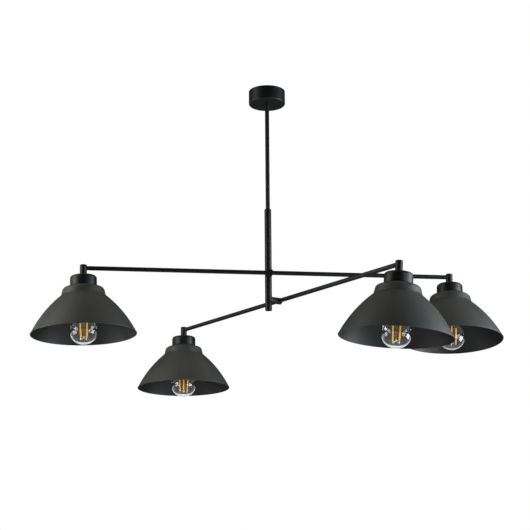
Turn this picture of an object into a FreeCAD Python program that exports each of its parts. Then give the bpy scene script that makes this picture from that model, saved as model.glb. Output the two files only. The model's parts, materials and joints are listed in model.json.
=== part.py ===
"""Four-light ceiling lamp on two crossing arms, for over a billiards table.

All lengths are millimetres. +Z is up and the origin is at the centre of the ceiling plane, so the
lamp hangs down along -Z. The upper arm lies along X. The lower arm is turned about the stem.
A short round hub carries each arm beside the stem: the upper one at -Y, the lower one behind.
Each arm ends in two lamp heads: left and right on the upper arm, front and back on the lower arm.
"""

import FreeCAD
import Part
import math
import os

V = FreeCAD.Vector
X_AXIS = V(1, 0, 0)
Y_AXIS = V(0, 1, 0)
Z_AXIS = V(0, 0, 1)

# Gaps: between bodies that move past each other, in a running fit, and between joined parts.
MOVING_GAP = 0.3
RUNNING_FIT = 0.05
CLOSE_FIT = 0.02

# Ceiling bracket: a flat strap whose middle is dropped below the ceiling.
STRAP_LENGTH = 80.0
STRAP_WIDTH = 24.0
STRAP_THICKNESS = 2.0
STRAP_DROP = 12.0
STRAP_MIDDLE = 52.0
SLOT_SPACING = 66.0
SLOT_LENGTH = 9.0
SLOT_WIDTH = 4.6

# Canopy.
CANOPY_RADIUS = 43.5
CANOPY_HEIGHT = 33.0
CANOPY_WALL = 1.2
CANOPY_EDGE = 3.0
CANOPY_HOLE = 5.5
COLLAR_RADIUS = 6.5
COLLAR_HEIGHT = 8.0

# Column: thin rod, then the stem, which is split between the two arms.
ROD_RADIUS = 5.0
ROD_BORE = 3.7
ROD_TOP = -4.5
STEM_RADIUS = 8.0
STEM_BORE = 6.8
UPPER_ARM_Z = -455.0
LOWER_ARM_Z = -512.0
STEM_TOP = UPPER_ARM_Z + 160.0
STEM_BOTTOM = UPPER_ARM_Z - 83.0
STEM_SPLIT = UPPER_ARM_Z - 30.0
BUSH_LENGTH = 23.0
LOWER_ARM_YAW = 117.0

# Arms, hubs and pivots.
ARM_RADIUS = 5.0
ARM_BORE = 3.6
ARM_REACH = 424.0
ARM_OFFSET = 28.0
ARM_END = 4.0
HUB_RADIUS = 7.75
HUB_CAVITY = 6.3
HUB_BACK = 18.0
HUB_FRONT = 33.1
HUB_CAP = 1.6
PIVOT_RADIUS = 4.0
PIVOT_BORE = 2.4

# How the heads hang at rest: all cant a little inwards, and each is rolled a little on its arm.
HEAD_CANT = 2.0
HEAD_ROLL = {"right": -5.8, "left": 1.8, "back": 0.8, "front": -3.8}

# How far each bulb has turned when it is screwed home.
BULB_SCREWED = {"right": 35.0, "left": 2.0, "back": 14.0, "front": -41.0}

# Lamp head, heights measured from the arm axis.
KNUCKLE_RADIUS = 8.0
KNUCKLE_TOP = 7.6
CUP_TOP = -18.8
CUP_RADIUS = 30.0
CUP_EDGE = 6.0
CUP_WALL = 1.2
SHADE_TOP = -42.8
SHADE_WALL = 1.0
SHADE_HOLE = 20.6
NECK_TOP = (46.2, -48.4)
NECK_BOTTOM = (49.7, -65.0)
DOME_RADIUS = 263.0
DOME_CENTRE = (-120.0, -265.9)
RIM_RADIUS = 117.5
RIM_Z = -153.0
RIM_BEAD = 1.05
BULB_RADIUS = 32.0
BULB_CENTRE = -143.0
BULB_WALL = 0.8
BULB_TURN = 43.0
BULB_SHOULDER = 30.0
CAP_RADIUS = 13.2
CAP_TIP = -70.0
CAP_RIM = -98.0


def cylinder(radius, start, end):
    """A round bar from one point to another."""
    axis = end - start
    return Part.makeCylinder(radius, axis.Length, start, axis)


def box(x0, x1, y0, y1, z0, z1):
    return Part.makeBox(x1 - x0, y1 - y0, z1 - z0, V(x0, y0, z0))


def rounded_path(points):
    """Edges of an open path in the XZ plane. Each point is (x, z, corner radius)."""
    edges = []
    last = V(points[0][0], 0, points[0][1])
    for before, here, after in zip(points, points[1:], points[2:]):
        corner = V(here[0], 0, here[1])
        back = (V(before[0], 0, before[1]) - corner).normalize()
        ahead = (V(after[0], 0, after[1]) - corner).normalize()
        if here[2] <= 0:
            edges.append(Part.makeLine(last, corner))
            last = corner
            continue
        half = back.getAngle(ahead) / 2
        reach = here[2] / math.tan(half)
        middle = corner + (back + ahead).normalize() * (here[2] / math.sin(half) - here[2])
        edges.append(Part.makeLine(last, corner + back * reach))
        last = corner + ahead * reach
        edges.append(Part.Arc(corner + back * reach, middle, last).toShape())
    end = V(points[-1][0], 0, points[-1][1])
    edges.append(Part.makeLine(last, end))
    return edges


def spun(edges):
    """A solid turned about Z from the edges of a closed outline in the XZ plane."""
    wire = Part.Wire(Part.__sortEdges__(edges))
    return Part.Face(wire).revolve(V(0, 0, 0), Z_AXIS, 360)


def turned(points):
    """A solid turned about Z from a closed outline of (radius, z, corner radius)."""
    return spun(rounded_path(points + [points[0]]))


def arc(centre, radius, start, end):
    """An arc in the XZ plane, angles in degrees from +X."""
    ends = []
    for angle in (start, (start + end) / 2, end):
        a = math.radians(angle)
        ends.append(V(centre[0] + radius * math.cos(a), 0, centre[1] + radius * math.sin(a)))
    return Part.Arc(*ends).toShape()


def moved(shape, yaw, position):
    """A copy turned about Z and then carried to a position."""
    copy = shape.copy()
    copy.rotate(V(0, 0, 0), Z_AXIS, yaw)
    copy.translate(position)
    return copy


def hexagon(across_flats, z0, z1, centre=V(0, 0, 0)):
    """A hexagonal prism along Z."""
    corners = []
    for i in range(7):
        a = math.radians(60 * i)
        r = across_flats / math.sqrt(3)
        corners.append(centre + V(r * math.cos(a), r * math.sin(a), z0))
    return Part.Face(Part.makePolygon(corners)).extrude(V(0, 0, z1 - z0))


def grub_screw(radius, tip_radius, length, tip_length):
    """A socket set screw along -Z. Its top is at the origin."""
    body = cylinder(radius, V(0, 0, 0), V(0, 0, -length))
    tip = cylinder(tip_radius, V(0, 0, -length), V(0, 0, -length - tip_length))
    socket = hexagon(radius, -length * 0.6, 0.1)
    return body.fuse(tip).cut(socket)


# Ceiling bracket and canopy ------------------------------------------------------------------


def ceiling_bracket():
    """Strap with a foot at each end against the ceiling and its middle dropped."""
    half = STRAP_LENGTH / 2
    middle = STRAP_MIDDLE / 2
    t = STRAP_THICKNESS
    w = STRAP_WIDTH / 2
    strap = box(-middle, middle, -w, w, -STRAP_DROP, -STRAP_DROP + t)
    for side in (-1, 1):
        outer = sorted((side * (middle - t), side * half))
        leg = sorted((side * (middle - t), side * middle))
        strap = strap.fuse(box(outer[0], outer[1], -w, w, -t, 0))
        strap = strap.fuse(box(leg[0], leg[1], -w, w, -STRAP_DROP, 0))
    strap = strap.removeSplitter()
    run = (SLOT_LENGTH - SLOT_WIDTH) / 2
    r = SLOT_WIDTH / 2
    for x in (-SLOT_SPACING / 2, SLOT_SPACING / 2):
        slot = box(x - run, x + run, -r, r, -t - 1, 1)
        for end in (x - run, x + run):
            slot = slot.fuse(cylinder(r, V(end, 0, -t - 1), V(end, 0, 1)))
        strap = strap.cut(slot)
    rod_hole = cylinder(ROD_RADIUS + RUNNING_FIT, V(0, 0, -STRAP_DROP - 1), V(0, 0, 0))
    earth_hole = cylinder(2.0, V(-18, 0, -STRAP_DROP - 1), V(-18, 0, 0))
    return strap.cut(rod_hole).cut(earth_hole)


def canopy_cup():
    """Drawn steel cup, open at the ceiling, with a hole for the rod."""
    outer = CANOPY_RADIUS
    inner = CANOPY_RADIUS - CANOPY_WALL
    floor = -CANOPY_HEIGHT + CANOPY_WALL
    return turned([
        (CANOPY_HOLE, floor, 0),
        (CANOPY_HOLE, -CANOPY_HEIGHT, 0),
        (outer, -CANOPY_HEIGHT, CANOPY_EDGE),
        (outer, 0, 0),
        (inner, 0, 0),
        (inner, floor, CANOPY_EDGE - CANOPY_WALL),
    ])


TERMINAL_POLES = (-8.5, 0.0, 8.5)
TERMINAL_ENDS = (13.0, 21.0)


def terminal_block():
    """Three-pole block under the strap, with a wire way and two screw wells for each pole."""
    top = -STRAP_DROP
    block = box(10, 24, -13, 13, top - 3.5, top)
    for y in TERMINAL_POLES:
        block = block.fuse(box(10, 24, y - 3.7, y + 3.7, top - 12.5, top - 3))
    block = block.removeSplitter()
    for y in TERMINAL_POLES:
        block = block.cut(cylinder(1.6, V(9, y, top - 6), V(25, y, top - 6)))
        for x in TERMINAL_ENDS:
            block = block.cut(cylinder(1.8, V(x, y, top - 7), V(x, y, top - 13)))
    return block


def terminal_screws():
    """Six slotted screws, one in each well of the terminal block."""
    screws = []
    for y in TERMINAL_POLES:
        for x in TERMINAL_ENDS:
            screw = cylinder(1.7, V(x, y, -STRAP_DROP - 7.8), V(x, y, -STRAP_DROP - 11.8))
            slot = box(x - 2, x + 2, y - 0.3, y + 0.3, -STRAP_DROP - 12, -STRAP_DROP - 11)
            screws.append(screw.cut(slot))
    return Part.makeCompound(screws)


def earth_screw():
    """Pan-head screw up through the strap."""
    head = cylinder(4.0, V(-18, 0, -STRAP_DROP), V(-18, 0, -STRAP_DROP - 2.6))
    head = head.cut(box(-22.5, -13.5, -0.5, 0.5, -STRAP_DROP - 3, -STRAP_DROP - 1.6))
    return head.fuse(cylinder(1.95, V(-18, 0, -STRAP_DROP), V(-18, 0, -4.5)))


# Column --------------------------------------------------------------------------------------


def down_rod():
    """Plain tube from above the strap to inside the stem bush."""
    end = STEM_TOP - BUSH_LENGTH
    outside = cylinder(ROD_RADIUS, V(0, 0, end), V(0, 0, ROD_TOP))
    return outside.cut(cylinder(ROD_BORE, V(0, 0, end - 1), V(0, 0, ROD_TOP + 1)))


def rod_nuts():
    """Two thin hexagon nuts on the rod, one above and one below the strap."""
    nuts = []
    above = -STRAP_DROP + STRAP_THICKNESS + MOVING_GAP
    below = -STRAP_DROP - MOVING_GAP - 3
    for z in (above, below):
        nut = hexagon(14, z, z + 3)
        nuts.append(nut.cut(cylinder(ROD_RADIUS + CLOSE_FIT, V(0, 0, z - 1), V(0, 0, z + 4))))
    return Part.makeCompound(nuts)


COLLAR_MIDDLE = -CANOPY_HEIGHT - MOVING_GAP - COLLAR_HEIGHT / 2


def canopy_collar():
    """Slip ring on the rod that holds the canopy up, with a set screw at the back."""
    top = -CANOPY_HEIGHT - MOVING_GAP
    bottom = top - COLLAR_HEIGHT
    ring = turned([
        (ROD_RADIUS + CLOSE_FIT, top, 0),
        (ROD_RADIUS + CLOSE_FIT, bottom, 0),
        (COLLAR_RADIUS, bottom, 0.6),
        (COLLAR_RADIUS, top, 0.4),
    ])
    return ring.cut(cylinder(1.5, V(0, 4, COLLAR_MIDDLE), V(0, 8, COLLAR_MIDDLE)))


def collar_screw():
    screw = grub_screw(1.45, 1.0, 1.0, 0.2)
    screw.rotate(V(0, 0, 0), X_AXIS, -90)
    screw.translate(V(0, COLLAR_RADIUS - 0.2, COLLAR_MIDDLE))
    return screw


def stem_bush():
    """Bush in the top of the stem that the rod screws into."""
    inside = STEM_BORE - CLOSE_FIT
    return turned([
        (ROD_RADIUS + CLOSE_FIT, STEM_TOP, 0),
        (ROD_RADIUS + CLOSE_FIT, STEM_TOP - BUSH_LENGTH, 0),
        (inside, STEM_TOP - BUSH_LENGTH, 0.5),
        (inside, STEM_TOP - 2, 0),
        (STEM_RADIUS, STEM_TOP - 2, 0),
        (STEM_RADIUS, STEM_TOP, 1.2),
    ])


def pivot_hole(z, yaw):
    """Hole in the wall of the stem for an arm's hollow pivot bolt."""
    hole = cylinder(PIVOT_RADIUS + CLOSE_FIT, V(0, 0, z), V(0, -STEM_RADIUS - 1, z))
    hole.rotate(V(0, 0, 0), Z_AXIS, yaw)
    return hole


NIPPLE_RADIUS = 5.0
BEARING_TOP = STEM_SPLIT + 8.0


def upper_stem():
    """Stem above the split. A thick ring at its foot is the bearing for the swivel nipple."""
    foot = STEM_SPLIT + MOVING_GAP / 2
    tube = turned([
        (STEM_BORE, STEM_TOP - 2, 0),
        (STEM_BORE, BEARING_TOP, 0),
        (NIPPLE_RADIUS + RUNNING_FIT, BEARING_TOP, 0),
        (NIPPLE_RADIUS + RUNNING_FIT, foot, 0),
        (STEM_RADIUS, foot, 0),
        (STEM_RADIUS, STEM_TOP - 2, 0),
    ])
    return tube.cut(pivot_hole(UPPER_ARM_Z, 0))


def swivel_nipple():
    """Hollow flanged bolt that hangs the lower stem from the upper one."""
    under = BEARING_TOP + MOVING_GAP
    return turned([
        (3.0, under + 3, 0),
        (3.0, STEM_SPLIT - 14, 0),
        (NIPPLE_RADIUS, STEM_SPLIT - 14, 0.6),
        (NIPPLE_RADIUS, under, 0),
        (6.2, under, 0),
        (6.2, under + 3, 0.6),
    ])


def lower_stem():
    """Stem below the split. A thick ring at its top takes the thread of the nipple."""
    head = STEM_SPLIT - MOVING_GAP / 2
    tube = turned([
        (NIPPLE_RADIUS + CLOSE_FIT, head, 0),
        (NIPPLE_RADIUS + CLOSE_FIT, head - 12, 0),
        (STEM_BORE, head - 12, 0),
        (STEM_BORE, STEM_BOTTOM + 2.5, 0),
        (STEM_RADIUS, STEM_BOTTOM + 2.5, 0),
        (STEM_RADIUS, head, 0),
    ])
    return tube.cut(pivot_hole(LOWER_ARM_Z, LOWER_ARM_YAW))


def stem_cap():
    """Plug that closes the foot of the stem."""
    return turned([
        (0, STEM_BOTTOM + 8, 0),
        (0, STEM_BOTTOM, 0),
        (STEM_RADIUS, STEM_BOTTOM, 1.2),
        (STEM_RADIUS, STEM_BOTTOM + 2.5, 0),
        (STEM_BORE - CLOSE_FIT, STEM_BOTTOM + 2.5, 0),
        (STEM_BORE - CLOSE_FIT, STEM_BOTTOM + 8, 0.5),
    ])


# One arm, drawn along X at the height of its axis, with its hub at -Y of the stem --------------


def boss():
    """Round spacer between the stem and the turning hub, saddled to the stem."""
    front = HUB_BACK - MOVING_GAP / 2
    bar = cylinder(HUB_RADIUS, V(0, 0, 0), V(0, -front, 0))
    bar = bar.cut(cylinder(STEM_RADIUS + CLOSE_FIT, V(0, 0, -20), V(0, 0, 20)))
    return bar.cut(cylinder(PIVOT_RADIUS + CLOSE_FIT, V(0, 0, 0), V(0, -front - 1, 0)))


def pivot():
    """Hollow bolt through the hub's back wall and the boss into the stem."""
    seat = HUB_BACK + 2.5 + MOVING_GAP
    bolt = cylinder(PIVOT_RADIUS, V(0, -5.6, 0), V(0, -seat, 0))
    bolt = bolt.fuse(cylinder(5.9, V(0, -seat, 0), V(0, -seat - 1.9, 0)))
    return bolt.cut(cylinder(PIVOT_BORE, V(0, 0, 0), V(0, -30, 0)))


def hub():
    """Round housing that turns on the pivot. The arm lies in a slot across its mouth."""
    back = HUB_BACK + MOVING_GAP / 2
    r = ARM_RADIUS + CLOSE_FIT
    body = cylinder(HUB_RADIUS, V(0, -back, 0), V(0, -HUB_FRONT, 0))
    body = body.cut(cylinder(HUB_CAVITY, V(0, -HUB_BACK - 2.5, 0), V(0, -HUB_FRONT - 1, 0)))
    body = body.cut(cylinder(PIVOT_RADIUS + RUNNING_FIT, V(0, 0, 0), V(0, -HUB_FRONT, 0)))
    body = body.cut(cylinder(r, V(-20, -ARM_OFFSET, 0), V(20, -ARM_OFFSET, 0)))
    return body.cut(box(-20, 20, -HUB_FRONT - 1, -ARM_OFFSET, -r, r))


def hub_cap():
    """Round lid that clamps the arm in the hub, with a lug above and below the arm."""
    rim = HUB_RADIUS
    lid = turned([(0, 0, 0), (rim, 0, 0), (rim, HUB_CAP, 1.2), (0, HUB_CAP, 0)])
    lid.rotate(V(0, 0, 0), X_AXIS, 90)
    lid.translate(V(0, -HUB_FRONT, 0))
    lugs = cylinder(HUB_CAVITY - 0.05, V(0, -HUB_FRONT, 0), V(0, -HUB_FRONT + 4, 0))
    lugs = lugs.cut(box(-10, 10, -HUB_FRONT - 1, -HUB_FRONT + 5, -5.3, 5.3))
    return lid.fuse(lugs)


def arm():
    """Straight tube with a wire hole at the hub and a groove and wire hole at each end."""
    y = -ARM_OFFSET
    tip = ARM_REACH + ARM_END
    tube = cylinder(ARM_RADIUS, V(-tip, y, 0), V(tip, y, 0))
    tube = tube.cut(cylinder(ARM_BORE, V(-tip - 1, y, 0), V(tip + 1, y, 0)))
    tube = tube.cut(cylinder(PIVOT_BORE, V(0, y, 0), V(0, 0, 0)))
    for x in (-ARM_REACH, ARM_REACH):
        ring = cylinder(ARM_RADIUS + 1, V(x - 1.7, y, 0), V(x + 1.7, y, 0))
        ring = ring.cut(cylinder(ARM_RADIUS - 0.8, V(x - 3, y, 0), V(x + 3, y, 0)))
        tube = tube.cut(ring)
        tube = tube.cut(cylinder(2.3, V(x, y, 0), V(x, y, -8)))
    return tube


# One lamp head, drawn with the arm axis on X and its outer end at +X --------------------------


def knuckle():
    """Round block that turns on the arm's end, with a hollow threaded spigot.

    The hole for the arm is drilled at the cant angle, so that the head hangs slightly inwards.
    """
    body = turned([
        (0, KNUCKLE_TOP, 0),
        (KNUCKLE_RADIUS, KNUCKLE_TOP, 1.8),
        (KNUCKLE_RADIUS, CUP_TOP, 0),
        (ROD_RADIUS, CUP_TOP, 0),
        (ROD_RADIUS, CUP_TOP - 11, 0.6),
        (0, CUP_TOP - 11, 0),
    ])
    depth = ARM_END + MOVING_GAP
    hole = cylinder(ARM_RADIUS + RUNNING_FIT, V(-10, 0, 0), V(depth, 0, 0))
    hole.rotate(V(0, 0, 0), Y_AXIS, -HEAD_CANT)
    body = body.cut(hole)
    body = body.cut(cylinder(2.4, V(0, 0, 0), V(0, 0, CUP_TOP - 12)))
    return body.cut(cylinder(2.0, V(0, 0, 0), V(0, 0, KNUCKLE_TOP + 1)))


def knuckle_screw():
    """Set screw in the knuckle whose tip runs in the groove at the arm's end."""
    screw = grub_screw(1.98, 1.2, 2.1, 0.7)
    screw.translate(V(0, 0, KNUCKLE_TOP - 0.3))
    return screw


def cup():
    """Spun cup that covers the lampholder."""
    inner = CUP_RADIUS - CUP_WALL
    hole = ROD_RADIUS + 0.1
    return turned([
        (hole, CUP_TOP, 0),
        (CUP_RADIUS, CUP_TOP, CUP_EDGE),
        (CUP_RADIUS, SHADE_TOP, 0.9),
        (inner, SHADE_TOP, 0),
        (inner, CUP_TOP - CUP_WALL, CUP_EDGE - CUP_WALL),
        (hole, CUP_TOP - CUP_WALL, 0),
    ])


SKIRT_RADIUS = 20.0
SHOULDER_RADIUS = 24.0
SKIRT_END = -94.0


def lampholder():
    """E27 lampholder: a body inside the cup and a skirt down through the shade."""
    return turned([
        (ROD_RADIUS + CLOSE_FIT, CUP_TOP - CUP_WALL - 0.2, 0),
        (ROD_RADIUS + CLOSE_FIT, CUP_TOP - 14, 0),
        (3.0, CUP_TOP - 14, 0),
        (3.0, CAP_TIP + 6, 0),
        (CAP_RADIUS + 0.3, CAP_TIP + 3, 0),
        (CAP_RADIUS + 0.3, SKIRT_END, 0),
        (SKIRT_RADIUS, SKIRT_END, 1.2),
        (SKIRT_RADIUS, SHADE_TOP, 0),
        (SHOULDER_RADIUS, SHADE_TOP, 0.5),
        (SHOULDER_RADIUS, CUP_TOP - 14, 2.5),
        (10.0, CUP_TOP - 9, 0.8),
        (10.0, CUP_TOP - CUP_WALL - 0.2, 0.5),
    ])


def shade_ring():
    """Threaded ring that clamps the shade up against the lampholder's shoulder."""
    top = SHADE_TOP - SHADE_WALL
    ring = turned([
        (SKIRT_RADIUS + 0.1, top, 0),
        (SKIRT_RADIUS + 0.1, top - 6, 0),
        (24.5, top - 6, 0.8),
        (24.5, top - 2, 0),
        (27.0, top - 2, 0.3),
        (27.0, top, 0),
    ])
    notches = []
    for i in range(12):
        a = math.radians(30 * i)
        out = V(math.cos(a), math.sin(a), 0)
        notches.append(cylinder(1.0, out * 24.7 + V(0, 0, top - 7), out * 24.7 + V(0, 0, top - 2)))
    return ring.cut(Part.makeCompound(notches))


def line_crossing(p, p_way, q, q_way):
    """Where two lines in the XZ plane meet, each given by a point and a direction."""
    cross = p_way[0] * q_way[1] - p_way[1] * q_way[0]
    t = ((q[0] - p[0]) * q_way[1] - (q[1] - p[1]) * q_way[0]) / cross
    return (p[0] + t * p_way[0], p[1] + t * p_way[1])


def inset(points, gap):
    """The corners of an open path moved by gap to its right-hand side."""
    ways = []
    starts = []
    for a, b in zip(points, points[1:]):
        length = math.hypot(b[0] - a[0], b[1] - a[1])
        way = ((b[0] - a[0]) / length, (b[1] - a[1]) / length)
        ways.append(way)
        starts.append((a[0] + way[1] * gap, a[1] - way[0] * gap))
    corners = [starts[0]]
    for i in range(1, len(ways)):
        corners.append(line_crossing(starts[i - 1], ways[i - 1], starts[i], ways[i]))
    end = points[-1]
    corners.append((end[0] + ways[-1][1] * gap, end[1] - ways[-1][0] * gap))
    return corners


def shade():
    """Spun shade: sloping top, rounded shoulder, short neck, flaring dome and a beaded rim."""
    dome_start = math.degrees(math.asin((NECK_BOTTOM[1] - DOME_CENTRE[1]) / DOME_RADIUS)) - 1
    bead_z = RIM_Z + RIM_BEAD
    dome_end = math.degrees(math.asin((bead_z - DOME_CENTRE[1]) / DOME_RADIUS))
    a = math.radians(dome_start)
    first = (DOME_CENTRE[0] + DOME_RADIUS * math.cos(a), DOME_CENTRE[1] + DOME_RADIUS * math.sin(a))
    corners = [(SHADE_HOLE, SHADE_TOP), (30.5, SHADE_TOP), NECK_TOP, NECK_BOTTOM, first]
    inner = inset(corners, SHADE_WALL)
    outer_bends = (0, 3.0, 9.0, 5.0, 0)
    inner_bends = (0, 2.0, 8.0, 6.0, 0)
    outer_path = rounded_path([(p[0], p[1], r) for p, r in zip(corners, outer_bends)])
    inner_path = rounded_path([(p[0], p[1], r) for p, r in zip(inner, inner_bends)])
    outer_dome = arc(DOME_CENTRE, DOME_RADIUS, dome_start, dome_end)
    inner_dome = arc(DOME_CENTRE, DOME_RADIUS - SHADE_WALL, dome_start, dome_end)
    hole_edge = Part.makeLine(V(corners[0][0], 0, corners[0][1]), V(inner[0][0], 0, inner[0][1]))
    joint = Part.makeLine(V(inner[-1][0], 0, inner[-1][1]), inner_dome.Vertexes[0].Point)
    rim = Part.makeLine(outer_dome.Vertexes[-1].Point, inner_dome.Vertexes[-1].Point)
    edges = outer_path + inner_path + [outer_dome, inner_dome, hole_edge, rim]
    if joint.Length > 1e-4:
        edges.append(joint)
    bead = Part.makeTorus(RIM_RADIUS - RIM_BEAD, RIM_BEAD, V(0, 0, bead_z), Z_AXIS)
    return spun(edges).fuse(bead)


def bulb_outline(wall):
    """Half outline of the glass, moved inwards by wall, from the axis up to the neck."""
    r = BULB_RADIUS - wall
    a = math.radians(BULB_TURN)
    reach = BULB_RADIUS + BULB_SHOULDER
    shoulder = (reach * math.cos(a), BULB_CENTRE + reach * math.sin(a))
    ball = arc((0, BULB_CENTRE), r, -90, BULB_TURN)
    bend = arc(shoulder, BULB_SHOULDER + wall, 180 + BULB_TURN, 180)
    neck = shoulder[0] - BULB_SHOULDER - wall
    top = [(neck, shoulder[1], 0), (neck, CAP_RIM - 1.6, 0.4), (12.6 - wall, CAP_RIM - 0.3, 0)]
    top.append((12.6 - wall, CAP_RIM + 4, 0))
    return [ball, bend] + rounded_path(top)


def bulb_glass():
    """Hollow glass of a 64 mm bulb, open only inside its metal cap."""
    outer = bulb_outline(0)
    inner = bulb_outline(BULB_WALL)
    bottom = BULB_CENTRE - BULB_RADIUS
    tip = Part.makeLine(V(0, 0, bottom), V(0, 0, bottom + BULB_WALL))
    neck = Part.makeLine(V(12.6, 0, CAP_RIM + 4), V(12.6 - BULB_WALL, 0, CAP_RIM + 4))
    return spun(outer + inner + [tip, neck])


def bulb_cap():
    """E27 screw cap, hollow, with the glass neck cemented inside its mouth."""
    inside = CAP_RADIUS - 0.5
    return turned([
        (0, CAP_TIP, 0),
        (4.8, CAP_TIP, 0.6),
        (4.8, CAP_TIP - 1.0, 0),
        (CAP_RADIUS, CAP_TIP - 4, 1.0),
        (CAP_RADIUS, CAP_RIM, 0),
        (inside, CAP_RIM, 0),
        (inside, CAP_TIP - 6, 0),
        (0, CAP_TIP - 6, 0),
    ])


FILAMENT_TOP = -123.0
FILAMENT_END = -162.0
STICK_RADIUS = 1.3


def bulb_filaments():
    """Glass mount with a centre rod and four upright light sticks held by short wires."""
    mount = turned([
        (0, CAP_RIM + 3, 0),
        (11.6, CAP_RIM + 3, 0),
        (11.6, CAP_RIM + 1, 0),
        (5.0, CAP_RIM - 5, 2.0),
        (1.8, CAP_RIM - 16, 2.0),
        (1.3, FILAMENT_END + 2, 0),
        (0, FILAMENT_END + 2, 0),
    ])
    for i in range(4):
        a = math.radians(45 + 90 * i)
        out = V(math.cos(a), math.sin(a), 0)
        high = out * 11.0 + V(0, 0, FILAMENT_TOP)
        low = out * 9.0 + V(0, 0, FILAMENT_END)
        mount = mount.fuse(cylinder(STICK_RADIUS, high, low))
        mount = mount.fuse(cylinder(0.35, V(0, 0, FILAMENT_TOP + 4), high + V(0, 0, -0.6)))
        mount = mount.fuse(cylinder(0.35, V(0, 0, FILAMENT_END + 3), low + V(0, 0, 0.6)))
    return mount


# Assembly ------------------------------------------------------------------------------------


def arm_nodes(name, yaw, height, nodes):
    """The boss, pivot, hub, lid and tube of one arm."""
    pieces = {"boss": boss(), "pivot": pivot(), "hub": hub(), "hub_cap": hub_cap(), "arm": arm()}
    for piece, shape in pieces.items():
        nodes[name + "_" + piece] = moved(shape, yaw, V(0, 0, height))


def head_nodes(name, pieces, arm_yaw, side, height, nodes):
    """One lamp head at the outer end of an arm. side is 1 at the arm's +X end, else -1."""
    a = math.radians(arm_yaw)
    along = V(math.cos(a), math.sin(a), 0) * (side * ARM_REACH)
    across = V(math.sin(a), -math.cos(a), 0) * ARM_OFFSET
    turn = arm_yaw if side > 0 else arm_yaw + 180
    for piece, shape in pieces.items():
        hung = shape.copy()
        if piece.startswith("bulb"):
            hung.rotate(V(0, 0, 0), Z_AXIS, BULB_SCREWED[name])
        hung.rotate(V(0, 0, 0), Y_AXIS, HEAD_CANT)
        hung.rotate(V(0, 0, 0), X_AXIS, HEAD_ROLL[name])
        nodes[name + "_" + piece] = moved(hung, turn, along + across + V(0, 0, height))


def build():
    nodes = {
        "ceiling_bracket": ceiling_bracket(),
        "canopy_cup": canopy_cup(),
        "terminal_block": terminal_block(),
        "terminal_screws": terminal_screws(),
        "earth_screw": earth_screw(),
        "down_rod": down_rod(),
        "rod_nuts": rod_nuts(),
        "canopy_collar": canopy_collar(),
        "collar_screw": collar_screw(),
        "stem_bush": stem_bush(),
        "upper_stem": upper_stem(),
        "swivel_nipple": swivel_nipple(),
        "lower_stem": lower_stem(),
        "stem_cap": stem_cap(),
    }
    arm_nodes("upper", 0, UPPER_ARM_Z, nodes)
    arm_nodes("lower", LOWER_ARM_YAW, LOWER_ARM_Z, nodes)
    head = {
        "knuckle": knuckle(),
        "knuckle_screw": knuckle_screw(),
        "cup": cup(),
        "lampholder": lampholder(),
        "shade_ring": shade_ring(),
        "shade": shade(),
        "bulb_glass": bulb_glass(),
        "bulb_cap": bulb_cap(),
        "bulb_filaments": bulb_filaments(),
    }
    head_nodes("right", head, 0, 1, UPPER_ARM_Z, nodes)
    head_nodes("left", head, 0, -1, UPPER_ARM_Z, nodes)
    head_nodes("back", head, LOWER_ARM_YAW, 1, LOWER_ARM_Z, nodes)
    head_nodes("front", head, LOWER_ARM_YAW, -1, LOWER_ARM_Z, nodes)
    return nodes


os.makedirs("parts", exist_ok=True)
for node, shape in build().items():
    shape.exportStep("parts/" + node + ".step")
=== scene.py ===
"""A pool table lamp: a ceiling canopy, a stem with two crossing arms, and four shades with bulbs.

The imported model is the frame. The spun, moulded and glass pieces of the four heads are made here
in finer detail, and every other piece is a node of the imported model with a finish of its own.
"""
import json
import math

import bmesh
import bpy
from mathutils import Matrix, Vector


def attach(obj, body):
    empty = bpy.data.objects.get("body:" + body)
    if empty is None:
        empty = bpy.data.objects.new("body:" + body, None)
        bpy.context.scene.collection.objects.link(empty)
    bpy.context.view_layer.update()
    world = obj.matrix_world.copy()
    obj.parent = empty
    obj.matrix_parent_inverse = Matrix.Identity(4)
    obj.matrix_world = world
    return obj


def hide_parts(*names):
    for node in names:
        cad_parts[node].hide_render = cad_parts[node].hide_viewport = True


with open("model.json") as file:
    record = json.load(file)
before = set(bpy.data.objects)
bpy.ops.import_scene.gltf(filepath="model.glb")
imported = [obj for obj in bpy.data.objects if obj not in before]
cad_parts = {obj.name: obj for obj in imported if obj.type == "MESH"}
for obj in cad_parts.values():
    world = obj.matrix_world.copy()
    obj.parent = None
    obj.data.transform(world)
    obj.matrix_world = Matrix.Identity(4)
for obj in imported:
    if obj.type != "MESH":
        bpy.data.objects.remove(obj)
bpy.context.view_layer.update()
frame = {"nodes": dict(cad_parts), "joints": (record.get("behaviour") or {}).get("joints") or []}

MM = 0.001
TURN = 2 * math.pi

# Sizes of one head in mm, with heights from the arm's axis -----------------------------------
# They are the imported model's, except for the bulb's thick foot and the light sticks' radius,
# which is 0.2 mm more.

CUP_TOP = -18.8
CUP_RADIUS = 30.0
CUP_EDGE = 6.0
CUP_WALL = 1.2
SHADE_TOP = -42.8
SHADE_WALL = 1.0
SHADE_HOLE = 20.6
SHADE_CREST = 30.5
NECK_TOP = (46.2, -48.4)
NECK_FOOT = (49.7, -65.0)
DOME_RADIUS = 263.0
DOME_MIDDLE = (-120.0, -265.9)
RIM_RADIUS = 117.5
RIM_FOOT = -153.0
RIM_BEAD = 1.05
SKIRT_RADIUS = 20.0
SKIRT_FOOT = -94.0
BULB_RADIUS = 32.0
BULB_MIDDLE = -143.0
BULB_WALL = 0.8
BULB_THICK_FOOT = 0.15  # share of the wall added at the foot of the ball
BULB_TURN = 43.0        # degrees up the ball at which the shoulder begins
BULB_SHOULDER = 30.0
CAP_RADIUS = 13.2
CAP_TIP = -70.0
CAP_RIM = -98.0
STICK_TOP = -123.0
STICK_FOOT = -162.0
STICK_HIGH_END = (11.0, STICK_TOP)
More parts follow.
